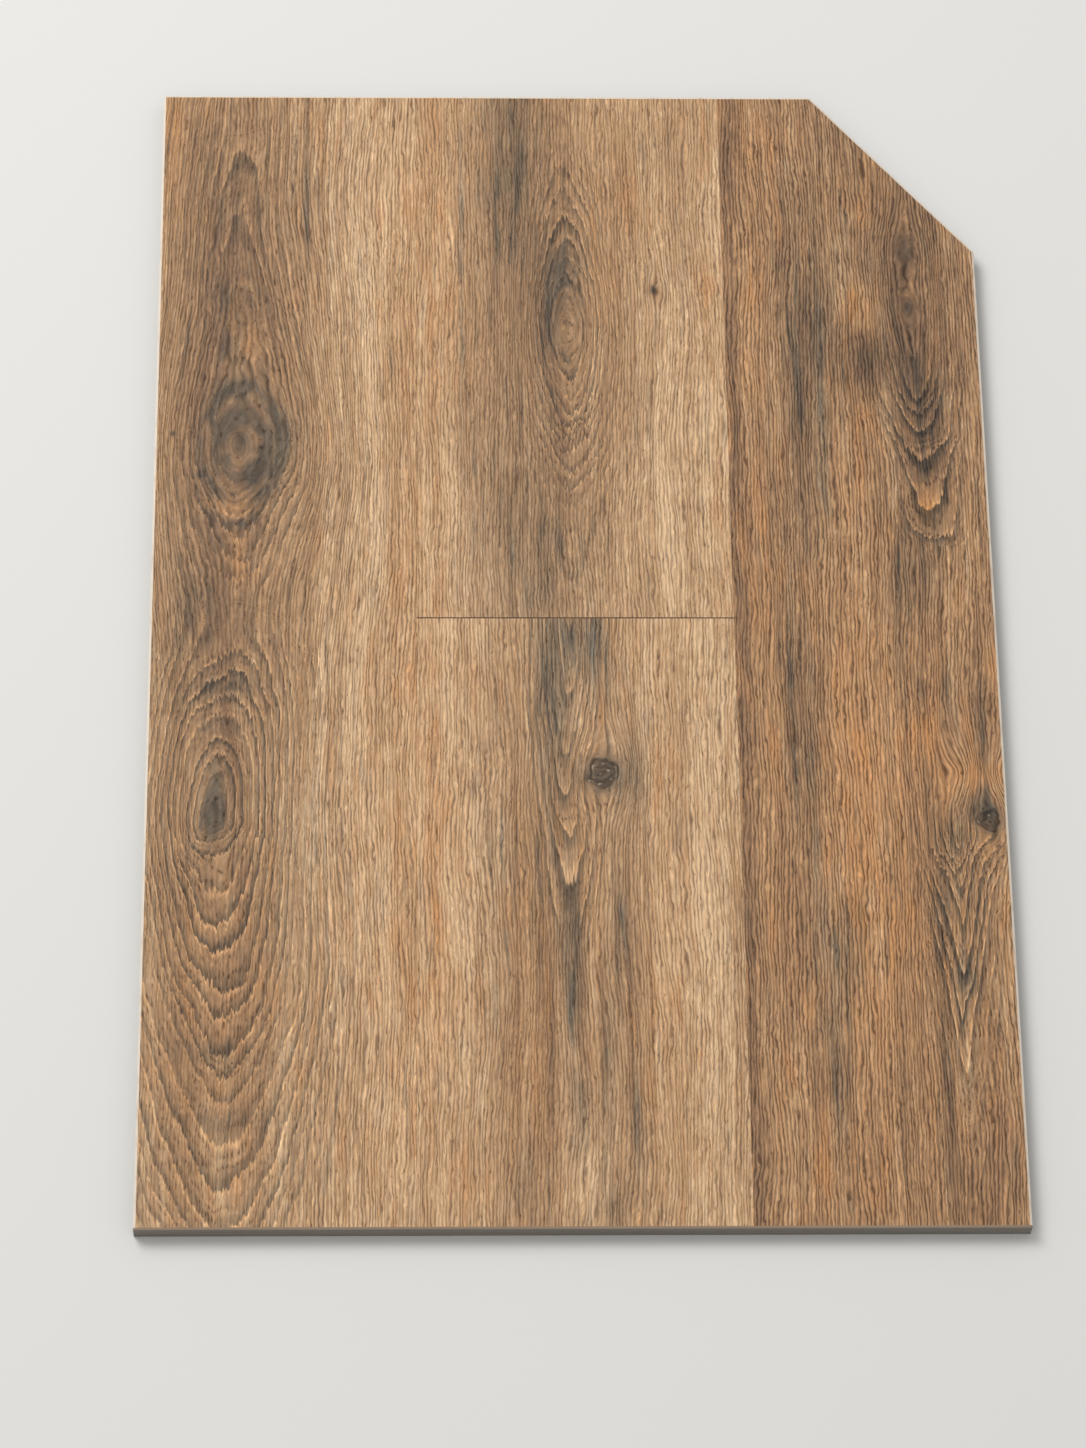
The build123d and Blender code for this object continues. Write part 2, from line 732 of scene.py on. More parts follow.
RIGHT_BOARD = Board(
    name="right_board",
    layer=23.0,
    heart=((-172, 100), (-98, 101.4), (-66, 101.6), (-20, 99.5), (25, 98), (60, 97), (101, 95.7),
           (172, 95)),
    sink=((-172, 20), (-140, 17), (-112, 14), (-98, 12), (-86, 10), (-77, 8), (-69.8, 6), (-65.6, 4),
          (-58, 2), (-50, 4), (-20, 20), (0, 25), (10, 24), (24.3, 18), (28.2, 16), (33.4, 14.6),
          (45, 13.4), (55.7, 12), (62, 10), (70.8, 8), (76, 6), (90, 3.4), (101, 0), (107, 2.5),
          (112, 3.8), (122, 4.6), (172, 9)),
    ring_pitch=-2.0,
    ring_reach=10,
    ring_weight=((-172, 0.3), (-125, 0.7), (-105, 1.3), (-62, 1.5), (-54, 0.8), (-46, 0.1), (26, 0.05),
                 (31, 1.2), (50, 1.1), (58, 1.5), (76, 1.4), (86, 0.5), (95, 0.3), (172, 0.25)),
    roundness=(1.1, 2.0),
    teeth=5,
    lightness=0.56,
    contrast=1.35,
    stains={
        Tint.DARK: (
            Stain(45.5, 0, 2.5, 260, 0.25), Stain(83, 85, 10, 9, 0.3), Stain(95, 112, 10, 34, 0.2),
            Stain(97, 60, 9, 34, 0.22),
        ),
        Tint.PALE: (
            Stain(80, 102, 4.5, 7, 0.42), Stain(106, -46, 6, 5, 0.2), Stain(76, -68, 8, 60, 0.2),
        ),
        Tint.AMBER: (
            Stain(80, 102, 5, 8, 1.3), Stain(97.5, 39, 3, 6, 0.7), Stain(88, -75, 24, 100, 0.35),
            Stain(73, -50, 4, 42, 0.5), Stain(93, -30, 3, 14, 0.5), Stain(64, -155, 5, 20, 0.45),
            Stain(78, 62, 5, 24, 0.5), Stain(106, -44, 7, 5, 0.9), Stain(76, -68, 9, 70, 0.55),
            Stain(53, 20, 5, 180, 0.4), Stain(85, 140, 8, 14, 0.5),
        ),
        Tint.SLATE: (
            Stain(63.5, 78, 3, 46, 0.5), Stain(58.5, -18, 2.6, 42, 0.6), Stain(63, -50, 2, 46, 0.5),
            Stain(66.5, -127, 3, 40, 0.58), Stain(69, 84, 10, 44, 0.3), Stain(95.7, 101, 1.7, 3, 1.0),
            Stain(95.2, 121.5, 3, 5, 0.25), Stain(97, 66, 8, 24, 0.4), Stain(97, 30, 7, 9, 0.4),
            Stain(95.5, 17, 3, 12, 0.45), Stain(109.2, -49, 1.3, 3, 0.9), Stain(109.4, -53, 2.6, 3, 0.9),
            Stain(105, -53.5, 2.6, 4, 0.5), Stain(88, 125, 20, 55, 0.32), Stain(55, 60, 1.2, 50, 0.4),
            Stain(69.5, 75, 1.5, 40, 0.5), Stain(83, -140, 1.4, 30, 0.4), Stain(89, 12, 3, 26, 0.5),
            Stain(93, -18.5, 1, 6, 0.7), Stain(100, -16, 2, 8, 0.5), Stain(108.7, -28, 2, 13, 0.6),
            Stain(100.8, -62, 3.5, 5, 0.55), Stain(95, -81, 2, 26, 0.35), Stain(100.5, -84, 7, 26, 0.2),
            Stain(101.5, -103, 3, 6, 0.5), Stain(95, -128, 2, 26, 0.55), Stain(71.7, -93, 5, 15, 0.5),
        ),
        Tint.SMOKE: (
            Stain(83, 85, 10, 8, 0.28), Stain(72, 98, 5, 10, 0.16),
        ),
    },
    eyes=(Knot(95.7, 101, 3, 6, 14), Knot(95.2, 121.5, 3, 5, 12)),
    knots=(Knot(109.5, -57, 3.1, 2.9, 13),),
    forks=(Knot(109, -43.5, 4, 1, 8, pull=-1.2),),
)

BOARDS = {
    Side.LEFT: LEFT_BOARD,
    Side.CENTRE_BACK: CENTRE_BACK_BOARD,
    Side.CENTRE_FRONT: CENTRE_FRONT_BOARD,
    Side.RIGHT: RIGHT_BOARD,
}


class Surface:
    """A material under way: its sheet of nodes, its shader and the place that it colours."""

    def __init__(self, name: str) -> None:
        """Starts a material with the given name."""
        self.material = bpy.data.materials.new(name)
        self.material.use_nodes = True
        self.sheet = NodeSheet(self.material.node_tree)
        self.shader = self.material.node_tree.nodes["Principled BSDF"]

    def place(self) -> tuple[Field, Field, Field]:
        """Place on the piece: across, along and up."""
        return self.sheet.split(self.sheet.node("ShaderNodeTexCoord").outputs["Object"])

    def bump(self, height: Field, depth: float, strength: float) -> bpy.types.NodeSocket:
        """Presses a height into the surface.

        Args:
            height: The height.
            depth: How deep one unit of it looks.
            strength: How much of it shows.

        Returns:
            The normal.
        """
        sockets = {"Strength": strength, "Distance": depth * MM, "Height": height}
        return self.sheet.node("ShaderNodeBump", None, sockets).outputs[0]

    def finish(self, sockets: dict[str, Any]) -> bpy.types.Material:
        """Feeds the shader.

        Args:
            sockets: Values or links for its inputs, by name.

        Returns:
            The finished material.
        """
        for name, value in sockets.items():
            self.sheet.plug(self.shader.inputs[name], value)
        return self.material


class Glaze(Enum):
    """Thin inks that let the print show through, as what they do to its red, green and blue; the two that
    brighten it are painted highlights.
    """

    GROOVE = (0.40, 0.36, 0.33, 1.0)
    # painted highlight: brightens the pressed ridges and the raised spots between pores
    RIDGE_HIGHLIGHT = (1.42, 1.38, 1.30, 1.0)
    # painted highlight: brightens the pale lip of each ring and streaks on the knots
    LIP_HIGHLIGHT = (1.56, 1.54, 1.46, 1.0)
    LATE_WOOD = (0.36, 0.41, 0.48, 1.0)
    SLATE = (0.345, 0.435, 0.56, 1.0)
    PORE = (0.30, 0.26, 0.23, 1.0)


class InkStack:
    """A print as it is built up: inks laid one over another, some of them pressed in or raised."""

    def __init__(self, sheet: NodeSheet, colour: bpy.types.NodeSocket) -> None:
        """Starts from a first coat of colour on a flat film."""
        self.sheet = sheet
        self.colour = colour
        self.height: Operand = 0.0

    def cover(self, amount: Field, over: Ink) -> None:
        """Lays an ink that hides what is under it."""
        self.colour = self.sheet.mix(amount, self.colour, over.value)

    def glaze(self, amount: Field, over: Glaze) -> None:
        """Lays a thin ink that tints what is under it."""
        self.colour = self.sheet.mix(amount, self.colour, over.value, "MULTIPLY")


@dataclass(frozen=True)
class PrintedOak:
    """Finish of one board: grain printed on film, pressed with its own relief, under a satin coat."""

    board: Board
    relief: float = 0.14
    press: float = 0.6
    roughness: float = 0.52
    shine: float = 0.22
    line_pitch: float = 1.0
    knot_ring_pitch: float = 1.7
    cloud: Lumps = Lumps(9, 120, 1.1, 0.48)
    streak: Lumps = Lumps(2.4, 50, 1.7, 0.43)
    mottle: Lumps = Lumps(1.8, 5, 2.1, 0.56, detail=2.0)
    thread: Lumps = Lumps(0.7, 20, 2.6, 0.43)
    blush: Lumps = Lumps(4, 24, 4.1, detail=2.0)
    damp: Lumps = Lumps(1.5, 18, 5.7, detail=2.0)
    drift: Lumps = Lumps(2.2, 18, 6.2, 1.8)
    wiggle: Lumps = Lumps(1.3, 4, 6.9, 1.1)
    warp: Lumps = Lumps(5, 7, 6.5, 2.2)
    bold: Lumps = Lumps(1.3, 9, 7.7)
    pore: Lumps = Lumps(0.45, 2.4, 9.9)
    knot_bend: Lumps = Lumps(4, 4, strength=4.6)
    knot_patch: Lumps = Lumps(1.3, 1.3)

    def material(self) -> bpy.types.Material:
        """Draws the board's print.

        Returns:
            The finished material.
        """
        surface = Surface(self.board.name)
        sheet = surface.sheet
        x, y, _ = surface.place()
        wood = self.board.grain(sheet, x, y)
        stack = InkStack(sheet, self.ground(sheet, wood))
        self.wash(stack, wood)
        figure = self.figure(sheet, wood)
        self.draw_rings(stack, wood, figure)
        self.draw_lines(stack, wood, figure)
        for knot in self.board.knots:
            self.draw_knot(stack, knot, x, y)
        return surface.finish({"Base Color": stack.colour, "Specular IOR Level": self.shine,
                               "Roughness": self.roughness - stack.height * 0.05,
                               "Normal": surface.bump(stack.height, self.relief, self.press)})

    def chance(self, sheet: NodeSheet, wood: Grain, lumps: Lumps) -> Field:
        """Chance variation along the board's fibres."""
        return lumps.at(sheet, wood.fibre, wood.y, self.board.layer)

    def ground(self, sheet: NodeSheet, wood: Grain) -> bpy.types.NodeSocket:
        """First coat: brown to pale streaks along the fibres, with the board's light and dark parts.

        Args:
            sheet: The nodes to add to.
            wood: How the wood runs.

        Returns:
            The colour.
        """
        cloud, streak, mottle, thread = (
            self.chance(sheet, wood, lumps)
            for lumps in (self.cloud, self.streak, self.mottle, self.thread))
        tone = (cloud + streak + mottle + thread) * self.board.contrast
        tone = tone + self.board.lightness + self.board.tinted(sheet, wood, Tint.PALE)
        tone = tone - self.board.tinted(sheet, wood, Tint.DARK)
        stops = [(0.0, Ink.EARTH.value), (0.35, Ink.BROWN.value), (0.6, Ink.OAK.value),
                 (0.85, Ink.SAND.value), (1.0, Ink.CREAM.value)]
        return sheet.node("ShaderNodeValToRGB", {"stops": stops}, {0: tone}).outputs[0]

    def wash(self, stack: InkStack, wood: Grain) -> None:
        """Washes of amber and slate, some by chance and some where the board has stains.

        Args:
            stack: The print so far.
            wood: How the wood runs.
        """
        sheet = stack.sheet
        blush = self.chance(sheet, wood, self.blush)
        amber = self.board.tinted(sheet, wood, Tint.AMBER) * (blush * 1.5 + 0.7)
        stack.cover(amber + blush.ease(0.0, 0.3) * 0.5, Ink.AMBER)
        damp = self.chance(sheet, wood, self.damp)
        slate = self.board.tinted(sheet, wood, Tint.SLATE) * (damp * 2.0 + 0.95)
        smoke = self.board.tinted(sheet, wood, Tint.SMOKE) + wood.smoke
        stack.glaze(slate + damp.ease(0.03, 0.3) * 0.48 + smoke, Glaze.SLATE)

    def figure(self, sheet: NodeSheet, wood: Grain) -> Field:
        """How strongly the growth rings show.

        Args:
            sheet: The nodes to add to.
            wood: How the wood runs.

        Returns:
            The strength, falling off away from the heart.
        """
        near = wood.side / self.board.ring_reach
        return ((near * near).fade() + 0.05) * sheet.curve(wood.y, self.board.ring_weight)

    def draw_rings(self, stack: InkStack, wood: Grain, figure: Field) -> None:
        """Dark late wood at the end of each year's ring, with a pale lip of painted highlight where the
        next one starts.

        Args:
            stack: The print so far.
            wood: How the wood runs.
            figure: How strongly the rings show.
        """
        year = wood.ring.whole()
        phase = wood.ring - year
        luck = stack.sheet.node("ShaderNodeTexWhiteNoise", {"noise_dimensions": "1D"}, {"W": year})
        weight = figure * (Field(stack.sheet, luck.outputs[0]) * 0.8 + 0.4) * (1 - wood.swirl * 0.5)
        late = phase.ease(0.35, 0.95) * phase.ease(1.0, 0.96)
        lip_highlight = phase.ease(0.2, 0.02)
        stack.glaze(late * weight, Glaze.LATE_WOOD)
        # the pale lip is a painted highlight
        stack.glaze(lip_highlight * weight, Glaze.LIP_HIGHLIGHT)

    def draw_lines(self, stack: InkStack, wood: Grain, figure: Field) -> None:
        """Fine lines along the fibres, or round a figure: pale ridges of painted highlight, dark grooves
        and short pores.

        Args:
            stack: The print so far.
            wood: How the wood runs.
            figure: How strongly the rings show.
        """
        sheet = stack.sheet
        drift, wiggle, warp, pore = (
            self.chance(sheet, wood, lumps)
            for lumps in (self.drift, self.wiggle, self.warp, self.pore))
        along = ((wood.fibre / self.line_pitch + drift + wiggle) * math.tau).cosine()
        around = ((wood.about / self.line_pitch + warp + wiggle) * math.tau).cosine()
        turned = (wood.swirl + figure.ease(0.45, 0.75) * 0.6).at_most(1.0)
        wave = along + (around - along) * turned
        lane = wood.fibre + (wood.about - wood.fibre) * turned
        bold = self.bold.at(sheet, lane, wood.y, self.board.layer).ease(-0.2, 0.2)
        calm = (1 - wood.swirl * 0.7) * self.board.contrast
        groove = wave.ease(-0.25, -0.95) * (bold * 0.85 + 0.15)
        ridge_highlight = wave.ease(0.4, 1.0) * (0.9 - bold * 0.4)
        stack.glaze(groove * calm, Glaze.GROOVE)
        # painted highlight on the pressed ridges
        stack.glaze(ridge_highlight * calm, Glaze.RIDGE_HIGHLIGHT)
        stack.glaze(pore.ease(0.14, 0.25) * 0.7, Glaze.PORE)
        # painted highlight on the raised spots between pores
        stack.glaze(pore.ease(-0.14, -0.25) * 0.9, Glaze.RIDGE_HIGHLIGHT)
        stack.height = along * 0.8 - pore * 2.5

    def draw_knot(self, stack: InkStack, knot: Knot, x: Field, y: Field) -> None:
        """A knot's dark end grain with its own small rings.

        Args:
            stack: The print so far.
            knot: The knot.
            x: Place across the plank.
            y: Place along the plank.
        """
        sheet = stack.sheet
        bent_x = self.knot_bend.at(sheet, x, y, knot.x) + x
        bent_y = self.knot_bend.at(sheet, x, y, knot.y) + y
        radius = knot.radius(bent_x, bent_y)
        bearing = sheet.calc("ARCTAN2", bent_y - knot.y, bent_x - knot.x)
        turn = (radius * (math.tau * knot.across / self.knot_ring_pitch) + bearing).cosine()
        patch = self.knot_patch.at(sheet, x, y, knot.x + knot.y).ease(-0.1, 0.2)
        shown = radius.ease(1.15, 0.85)
        stack.glaze(radius.ease(2.1, 0.7) * 0.6, Glaze.SLATE)
        stack.glaze(shown * 0.5, Glaze.SLATE)
        stack.glaze(shown * radius.ease(0.4, 0.9) * 0.5, Glaze.GROOVE)
        stack.glaze(shown * turn.ease(0.0, -1.0) * 0.6, Glaze.GROOVE)
        # pale streaks on the knot's rings: painted highlight
        stack.glaze(shown * turn.ease(0.4, 1.0) * patch * 0.7, Glaze.LIP_HIGHLIGHT)
        stack.cover(shown * turn.ease(0.3, 1.0) * patch.ease(0.8, 1.0) * 0.4, Ink.BEVEL)


@dataclass(frozen=True)
class BevelPaint:
    """Finish of the fine bevel round the face: a pale paint, thin in places."""

    name: str = "bevel_paint"
    roughness: float = 0.45
    thin: Lumps = Lumps(1.5, 6, 0.4, detail=2.0)

    def material(self) -> bpy.types.Material:
        """Paints the bevel.

        Returns:
            The finished material.
        """
        surface = Surface(self.name)
        x, y, _ = surface.place()
        thin = self.thin.at(surface.sheet, x, y)
        colour = surface.sheet.mix(thin.ease(0.0, 0.35) * 0.5, Ink.BEVEL.value, Ink.OAK.value)
        return surface.finish({"Base Color": colour, "Roughness": thin * 0.2 + self.roughness})


@dataclass(frozen=True)
class SeamShade:
    """Finish of the short seam: a brown line of painted shade in the groove, mottled as if dust had
    settled in it.
    """

    name: str = "seam_shade"
    roughness: float = 0.7
    dust: Lumps = Lumps(3, 3, 0.2, detail=2.0)

    def material(self) -> bpy.types.Material:
        """Shades the seam.

        Returns:
            The finished material.
        """
        surface = Surface(self.name)
        x, y, _ = surface.place()
        dust = self.dust.at(surface.sheet, x, y).ease(-0.3, 0.3)
        # painted shade: dark brown in the seam's groove
        colour = surface.sheet.mix(dust, Ink.UMBER.value, Ink.EARTH.value)
        return surface.finish({"Base Color": colour, "Roughness": self.roughness})


@dataclass(frozen=True)
class FilledCore:
    """Finish of the cut edge: grey vinyl filled with stone dust, in pressed layers under a pale film."""

    name: str = "filled_core"
    roughness: float = 0.75
    relief: float = 0.05
    press: float = 0.4
    layer_length: float = 40.0
    layer_height: float = 0.9
    speck: float = 0.3
    film_start: float = 4.6
    film_end: float = 4.9

    def material(self) -> bpy.types.Material:
        """Colours the cut edge.

        Returns:
            The finished material.
        """
        surface = Surface(self.name)
        sheet = surface.sheet
        x, y, z = surface.place()
        layers = sheet.noise(x / self.layer_length, y / self.layer_length, z / self.layer_height)
        specks = sheet.noise(x / self.speck, y / self.speck, z / self.speck, detail=2.0)
        shade = layers * 0.5 + specks * 0.6 + 0.5
        stops = [(0.2, Ink.CORE_DARK.value), (0.55, Ink.CORE.value), (0.9, Ink.CORE_PALE.value)]
        core = sheet.node("ShaderNodeValToRGB", {"stops": stops}, {0: shade}).outputs[0]
        film = z.ease(self.film_start, self.film_end)
        return surface.finish({"Base Color": sheet.mix(film * 0.4, core, Ink.SAND.value),
                               "Roughness": specks * 0.2 + self.roughness,
                               "Normal": surface.bump(specks, self.relief, self.press)})


@dataclass(frozen=True)
class GripBacking:
    """Finish of the underside: dark vinyl with a fine pressed weave that grips the floor."""

    name: str = "grip_backing"
    roughness: float = 0.7
    relief: float = 0.1
    press: float = 0.5
    pitch: float = 3.0
    dust: Lumps = Lumps(25, 25, 0.7, detail=3.0)

    def material(self) -> bpy.types.Material:
        """Colours and presses the underside.

        Returns:
            The finished material.
        """
        surface = Surface(self.name)
        x, y, _ = surface.place()
        turn = math.tau / self.pitch
        weave = ((x + y) * turn).cosine() * ((x - y) * turn).cosine() * 0.5 + 0.5
        worn = weave * 0.3 + self.dust.at(surface.sheet, x, y) * 0.5 + 0.2
        colour = surface.sheet.mix(worn, Ink.BACKING.value, Ink.BACKING_WORN.value)
        return surface.finish({"Base Color": colour, "Roughness": self.roughness - weave * 0.1,
                               "Normal": surface.bump(weave, self.relief, self.press)})


@dataclass(frozen=True)
class FlatMap:
    """The flat map that textures are baked to, 0 to 1 each way.

    The wear face takes most of the map, the underside lies below it, turned, and each upright edge has
    a strip between them.
    """

    width: float
    length: float
    thickness: float
    margin: float = 0.004
    face_start: float = 0.2
    backing_end: float = 0.125
    strip_start: float = 0.135
    strip_step: float = 0.0125
    strip_height: float = 0.01
    slant: float = 0.1

    def spot(self, side: Side, place: Vector, normal: Vector) -> tuple[float, float]:
        """Finds a corner of the plank on the map.

        Args:
            side: The side that the corner's face belongs to.
            place: The corner.
            normal: The face's normal.

        Returns:
            Its place on the map.
        """
        room = 1 - 2 * self.margin
        across = self.margin + room * (place.x / self.width + 0.5)
        along = self.margin + room * (place.y / self.length + 0.5)
        if side is Side.BACKING:
            return along, across * self.backing_end
        if side is not Side.CORE:
            return across, self.face_start + (1 - self.face_start) * along
        turns = (math.atan2(normal.y, normal.x) / (math.pi / 2)) % 4
        slanted = min(turns % 1, 1 - turns % 1) > self.slant
        strip = 4 if slanted else round(turns) % 4
        run = along if abs(normal.x) > 0.5 else across
        rise = self.strip_height * place.z / self.thickness
        return run, self.strip_start + self.strip_step * strip + rise


@dataclass
class VinylPlank:
    """The plank: a slab with a clipped corner, a fine bevel, pressed seams and a pressed grain."""

    width: float
    length: float
    thickness: float
    clip_across: float = 44.5
    clip_along: float = 51.5
    bevel_width: float = 0.6
    bevel_depth: float = 0.25
    left_strip_width: float = 72.0
    centre_strip_width: float = 86.0
    front_board_length: float = 175.0
    seam_width: float = 0.35
    seam_depth: float = 0.15
    emboss_depth: float = 0.05
    pitch_across: float = 0.62
    pitch_along: float = 1.8
    crease: float = 16.0
    steep: float = 0.5
    cut_tolerance: float = 1e-5
    edge_tolerance: float = 1e-3

    @property
    def seams(self) -> tuple[float, float]:
        """Places of the two long seams across the plank."""
        left = self.left_strip_width - self.width / 2
        return left, left + self.centre_strip_width

    @property
    def butt(self) -> float:
        """Place of the short seam along the plank."""
        return self.front_board_length - self.length / 2

    def inset(self, x: np.ndarray, y: np.ndarray) -> np.ndarray:
        """How far inside the plank's outline a place lies.

        Args:
            x: Places across.
            y: Places along.

        Returns:
            Distance to the nearest edge, less than zero outside.
        """
        clip_size = math.hypot(self.clip_across, self.clip_along)
        off_x = self.width / 2 - self.clip_across - x
        off_y = self.length / 2 - y
        clip = (off_x * self.clip_along + off_y * self.clip_across) / clip_size
        square = np.minimum(self.width / 2 - np.abs(x), self.length / 2 - np.abs(y))
        return np.minimum(square, clip)

    def off_seams(self, x: np.ndarray, y: np.ndarray) -> np.ndarray:
        """Distance from the nearest pressed seam.

        Args:
            x: Places across.
            y: Places along.

        Returns:
            Distance to the root of that seam.
        """
        left, right = self.seams
        long_seam = np.minimum(np.abs(x - left), np.abs(x - right))
        short_seam = np.where((x >= left) & (x <= right), np.abs(y - self.butt), self.length)
        return np.minimum(long_seam, short_seam)

    def face_height(self, x: np.ndarray, y: np.ndarray) -> np.ndarray:
        """Height of the wear face with its bevel and seams.

        Args:
            x: Places across.
            y: Places along.

        Returns:
            Heights above the underside.
        """
        bevel = self.bevel_depth * np.clip(1 - self.inset(x, y) / self.bevel_width, 0, 1)
        seam = self.seam_depth * np.clip(1 - self.off_seams(x, y) / (self.seam_width / 2), 0, 1)
        return self.thickness - np.maximum(bevel, seam)

    @staticmethod
    def lines(stops: list[float], pitch: float) -> np.ndarray:
        """Grid lines through every stop, evenly spaced between stops.

        Args:
            stops: Places that must have a line, in rising order.
            pitch: Largest wanted gap, about.

        Returns:
            All the places.
        """
        runs = [np.linspace(a, b, max(1, round((b - a) / pitch)), endpoint=False)
                for a, b in zip(stops, stops[1:])]
        return np.concatenate([*runs, stops[-1:]])

    def wear_grid(self) -> bpy.types.Mesh:
        """Flat grid of the wear face, with lines on every edge of the bevel and the seams.

        Returns:
            The grid, still a whole rectangle.
        """
        half, end, groove = self.width / 2, self.length / 2, self.seam_width / 2
        left, right = self.seams
        across = self.lines([-half, self.bevel_width - half, left - groove, left, left + groove,
                             right - groove, right, right + groove, half - self.bevel_width, half],
                            self.pitch_across)
        along = self.lines([-end, self.bevel_width - end, self.butt - groove, self.butt,
                            self.butt + groove, end - self.bevel_width, end], self.pitch_along)
        columns, rows = len(across), len(along)
        x, y = np.meshgrid(across, along)
        corner = (np.arange(rows - 1)[:, None] * columns + np.arange(columns - 1)).ravel()
        quads = np.stack([corner, corner + 1, corner + columns + 1, corner + columns], 1)
        mesh = bpy.data.meshes.new(NODE)
        points = np.stack([x.ravel(), y.ravel(), np.zeros(x.size)], 1)
        mesh.from_pydata(points.tolist(), [], quads.tolist())
        return mesh

    def clip_corner(self, solid: bmesh.types.BMesh) -> None:
        """Cuts the corner off the grid, and adds the inner line of the bevel along the cut.

        Args:
            solid: The grid.
        """
        clip_size = math.hypot(self.clip_across, self.clip_along)
        outward = Vector((self.clip_along / clip_size, self.clip_across / clip_size, 0))
        start = Vector((self.width / 2 - self.clip_across, self.length / 2, 0))
        for inset in (0.0, self.bevel_width):
            geometry = [*solid.verts, *solid.edges, *solid.faces]
            bmesh.ops.bisect_plane(solid, geom=geometry, dist=self.cut_tolerance, plane_no=outward,
                                   plane_co=start - outward * inset, clear_outer=inset == 0)

    def close_slab(self, solid: bmesh.types.BMesh) -> None:
        """Adds the upright edges and the underside below the wear face.

        Args:
            solid: The wear face.
        """
        half, end = self.width / 2, self.length / 2
        corners = [Vector((-half, -end, 0)), Vector((half, -end, 0)),
                   Vector((half, end - self.clip_along, 0)), Vector((half - self.clip_across, end, 0)),
                   Vector((-half, end, 0))]
        rim = {v for e in solid.edges if e.is_boundary for v in e.verts}
        feet = [solid.verts.new(corner) for corner in corners]
        solid.faces.new(reversed(feet))
        for number, foot in enumerate(feet):
            after = feet[(number + 1) % len(feet)]
            run = (after.co - foot.co).normalized()
            side = Vector((run.y, -run.x, 0))
            on_edge = [v for v in rim if abs((v.co - foot.co).dot(side)) < self.edge_tolerance]
            on_edge.sort(key=lambda v: -(v.co - foot.co).dot(run))
            solid.faces.new([foot, after, *on_edge])

    def side_of(self, face: bmesh.types.BMFace) -> Side:
        """Which finish a face takes.

        Args:
            face: A face of the slab.

        Returns:
            The side that it belongs to.
        """
        face.normal_update()
        middle = face.calc_center_median()
        if face.normal.z < -self.steep:
            return Side.BACKING
        if face.normal.z < self.steep:
            return Side.CORE
        # The bevel of the front end shows bare core.
        if middle.y < self.bevel_width - self.length / 2:
            return Side.CORE
        if self.inset(middle.x, middle.y) < self.bevel_width:
            return Side.BEVEL
        left, right = self.seams
        if left < middle.x < right and abs(middle.y - self.butt) < self.seam_width / 2:
            return Side.SEAM
        if middle.x < left:
            return Side.LEFT
        if middle.x > right:
            return Side.RIGHT
        return Side.CENTRE_BACK if middle.y > self.butt else Side.CENTRE_FRONT

    def slab(self) -> bpy.types.Object:
        """Builds the slab with its bevel and seams, before its grain is pressed.

        Returns:
            The slab in metres, with its finish, its flat map and how freely each point is pressed.
        """
        mesh = self.wear_grid()
        solid = bmesh.new()
        solid.from_mesh(mesh)
        self.clip_corner(solid)
        points = np.array([v.co for v in solid.verts])
        heights = self.face_height(points[:, 0], points[:, 1])
        free = np.minimum(self.inset(points[:, 0], points[:, 1]) - self.bevel_width,
                          self.off_seams(points[:, 0], points[:, 1]) - self.seam_width / 2)
        pressed = solid.verts.layers.float.new("pressed")
        for vertex, height, room in zip(solid.verts, heights, free):
            vertex.co.z = height
            vertex[pressed] = min(max(room, 0.0), 1.0)
        self.close_slab(solid)
        flat = FlatMap(self.width, self.length, self.thickness)
        finish = solid.faces.layers.int.new("finish")
        flat_map = solid.loops.layers.uv.new("OFBake")
        for face in solid.faces:
            side = self.side_of(face)
            face[finish] = side.value
            face.smooth = True
            for loop in face.loops:
                loop[flat_map].uv = flat.spot(side, loop.vert.co, face.normal)
        bmesh.ops.scale(solid, vec=(MM, MM, MM), verts=solid.verts)
        solid.to_mesh(mesh)
        solid.free()
        plank = bpy.data.objects.new(NODE + "_dressed", mesh)
        bpy.context.scene.collection.objects.link(plank)
        return plank

    def relief(self, sheet: NodeSheet) -> Operand:
        """How far each place lies down the side of a growth ring.

        Args:
            sheet: The nodes to add to.

        Returns:
            The share of the pressing, 0 to 1.
        """
        x, y, _ = sheet.split(sheet.node("GeometryNodeInputPosition").outputs[0])
        left, right = self.seams
        on_right = sheet.calc("GREATER_THAN", x, right)
        on_left = sheet.calc("LESS_THAN", x, left)
        on_back = sheet.calc("GREATER_THAN", y, self.butt)
        centre = 1 - on_left - on_right
        shares = {Side.LEFT: on_left, Side.RIGHT: on_right, Side.CENTRE_BACK: centre * on_back,
                  Side.CENTRE_FRONT: centre * (1 - on_back)}
        total: Operand = 0.0
        for side, share in shares.items():
            turns = BOARDS[side].grain(sheet, x, y).ring * math.tau
            total = share * (turns.cosine() * 0.5 + 0.5) + total
        return total

